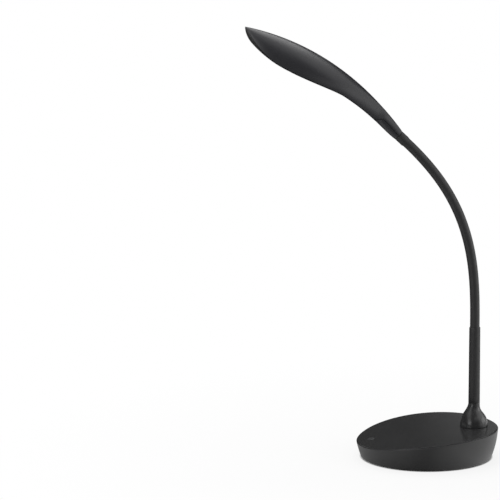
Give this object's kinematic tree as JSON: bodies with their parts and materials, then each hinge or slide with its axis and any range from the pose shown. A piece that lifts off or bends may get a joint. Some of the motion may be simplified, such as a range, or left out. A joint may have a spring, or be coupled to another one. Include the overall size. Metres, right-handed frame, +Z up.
{
  "type": "gooseneck desk lamp",
  "caption": "Desk lamp with a weighted round base, touch key, flexible gooseneck and a slim leaf-shaped LED head.",
  "frame": {"origin": "centre of the base on the table: the middle of the underside of the rubber pad", "axes": "+Z up out of the base, -Y to the front where the touch key is and the head reaches, +X to the lamp's side; the neck stands at the rear"},
  "size_m": [0.1493, 0.2647, 0.4561],
  "materials": {
    "satin_black": "satin moulded ABS",
    "gloss_black": "polished piano black",
    "head_black": "satin moulded ABS with a slight sheen",
    "frame_black": "satin moulded ABS",
    "silicone_black": "matte silicone",
    "pad_rubber": "matte non-slip rubber",
    "cast_iron": "as cast",
    "steel": "zinc-plated steel",
    "gooseneck_steel": "wound steel",
    "spreader_alloy": "plain rolled aluminium",
    "board_green": "coated circuit board",
    "spring_brass": "bright wire",
    "lens_white": "translucent white",
    "jack_black": "moulded",
    "wire_red": "insulated wire",
    "lead_black": "round insulated cable",
    "opal_white": "opal, frosted",
    "led_yellow": "phosphor under silicone"
  },
  "bodies": {
    "base": {"base_body": "satin_black", "base_cover": "gloss_black", "base_plate": "satin_black", "ballast": "cast_iron", "base_pad": "pad_rubber", "base_screws": "steel", "control_board": "board_green", "board_screws": "steel", "touch_spring": "spring_brass", "touch_lens": "lens_white", "dc_jack": "jack_black", "jack_lead": "wire_red", "neck_foot": "gloss_black", "neck_washer": "steel", "neck_nut": "steel", "stem_tube": "steel", "stem_sleeve": "silicone_black", "stem_core": "gooseneck_steel", "stem_lead": "lead_black"},
    "link_01": {"sleeve_01": "silicone_black", "core_01": "gooseneck_steel", "lead_01": "lead_black"},
    "link_02": {"sleeve_02": "silicone_black", "core_02": "gooseneck_steel", "lead_02": "lead_black"},
    "link_03": {"sleeve_03": "silicone_black", "core_03": "gooseneck_steel", "lead_03": "lead_black"},
    "link_04": {"sleeve_04": "silicone_black", "core_04": "gooseneck_steel", "lead_04": "lead_black"},
    "link_05": {"sleeve_05": "silicone_black", "core_05": "gooseneck_steel", "lead_05": "lead_black"},
    "link_06": {"sleeve_06": "silicone_black", "core_06": "gooseneck_steel", "lead_06": "lead_black"},
    "link_07": {"sleeve_07": "silicone_black", "core_07": "gooseneck_steel", "lead_07": "lead_black"},
    "link_08": {"sleeve_08": "silicone_black", "core_08": "gooseneck_steel", "lead_08": "lead_black"},
    "link_09": {"sleeve_09": "silicone_black", "core_09": "gooseneck_steel", "lead_09": "lead_black"},
    "head": {"sleeve_10": "silicone_black", "core_10": "gooseneck_steel", "head_lead": "lead_black", "neck_collar": "silicone_black", "neck_ferrule": "steel", "head_shell": "head_black", "tail_cover": "head_black", "head_frame": "frame_black", "diffuser": "opal_white", "led_board": "board_green", "leds": "led_yellow", "heat_spreader": "spreader_alloy", "head_screws": "steel", "led_screws": "steel"}
  },
  "joints": [
    {"name": "bend_01", "type": "hinge", "parent": "base", "child": "link_01", "pos_m": [0, 0.05, 0.13906], "axis": [1, 0, 0], "range_deg": [-6.5, 9]},
    {"name": "bend_02", "type": "hinge", "parent": "link_01", "child": "link_02", "pos_m": [0, 0.0498, 0.16171], "axis": [1, 0, 0], "range_deg": [-6.5, 9]},
    {"name": "side_03", "type": "hinge", "parent": "link_02", "child": "link_03", "pos_m": [0, 0.04876, 0.18434], "axis": [0, 0.9972, 0.0754], "range_deg": [-13, 13]},
    {"name": "bend_04", "type": "hinge", "parent": "link_03", "child": "link_04", "pos_m": [0, 0.04624, 0.20685], "axis": [1, 0, 0], "range_deg": [-6.5, 9]},
    {"name": "bend_05", "type": "hinge", "parent": "link_04", "child": "link_05", "pos_m": [0, 0.04173, 0.22904], "axis": [1, 0, 0], "range_deg": [-6.5, 9]},
    {"name": "side_06", "type": "hinge", "parent": "link_05", "child": "link_06", "pos_m": [0, 0.03486, 0.25063], "axis": [0, 0.9339, 0.3574], "range_deg": [-13, 13]},
    {"name": "bend_07", "type": "hinge", "parent": "link_06", "child": "link_07", "pos_m": [0, 0.02553, 0.27127], "axis": [1, 0, 0], "range_deg": [-6.5, 9]},
    {"name": "bend_08", "type": "hinge", "parent": "link_07", "child": "link_08", "pos_m": [0, 0.01384, 0.29067], "axis": [1, 0, 0], "range_deg": [-6.5, 9]},
    {"name": "side_09", "type": "hinge", "parent": "link_08", "child": "link_09", "pos_m": [0, 0.00013, 0.30869], "axis": [0, 0.7664, 0.6424], "range_deg": [-13, 13]},
    {"name": "bend_10", "type": "hinge", "parent": "link_09", "child": "head", "pos_m": [0, -0.01512, 0.32544], "axis": [1, 0, 0], "range_deg": [-6.5, 9]}
  ],
  "couplings": [
    {"joint": "bend_02", "follows": "bend_01", "ratio": 1},
    {"joint": "bend_04", "follows": "bend_01", "ratio": 1},
    {"joint": "bend_05", "follows": "bend_01", "ratio": 1},
    {"joint": "bend_08", "follows": "bend_07", "ratio": 1},
    {"joint": "bend_10", "follows": "bend_07", "ratio": 1},
    {"joint": "side_06", "follows": "side_03", "ratio": 1},
    {"joint": "side_09", "follows": "side_03", "ratio": 1}
  ]
}
